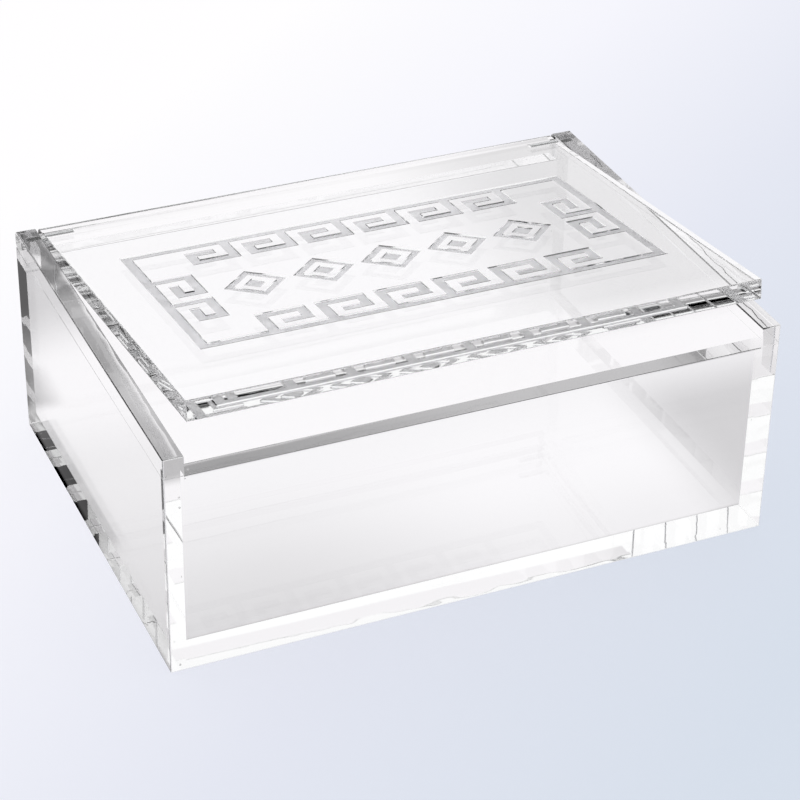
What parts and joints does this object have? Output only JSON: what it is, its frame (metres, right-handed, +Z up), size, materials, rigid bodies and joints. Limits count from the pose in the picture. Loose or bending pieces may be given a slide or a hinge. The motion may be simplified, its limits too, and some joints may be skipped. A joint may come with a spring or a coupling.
{
  "type": "acrylic storage box with lid",
  "caption": "Clear acrylic storage box, open inside, with a thick flush lid that lies between side rails and turns on short steel pins near its rear edge.",
  "frame": {"origin": "centre of the box's footprint, on the surface it stands on", "axes": "+Z up, +Y from the front to the hinge side, +X to the right seen from the front"},
  "size_m": [0.3, 0.22, 0.1385],
  "materials": {
    "clear_acrylic": "polished clear cast acrylic",
    "lid_acrylic": "polished clear cast acrylic with a frosted engraved ornament",
    "pin_steel": "ground stainless steel"
  },
  "bodies": {
    "box": {"floor_plate": "clear_acrylic", "front_wall": "clear_acrylic", "back_wall": "clear_acrylic", "left_wall": "clear_acrylic", "right_wall": "clear_acrylic", "left_rail": "clear_acrylic", "right_rail": "clear_acrylic", "left_hinge_pin": "pin_steel", "right_hinge_pin": "pin_steel"},
    "lid": {"lid": "lid_acrylic"}
  },
  "joints": [
    {"name": "lid_hinge", "type": "hinge", "parent": "box", "child": "lid", "pos_m": [0, 0.1, 0.108], "axis": [-1, 0, 0], "range_deg": [-7, 173]}
  ]
}
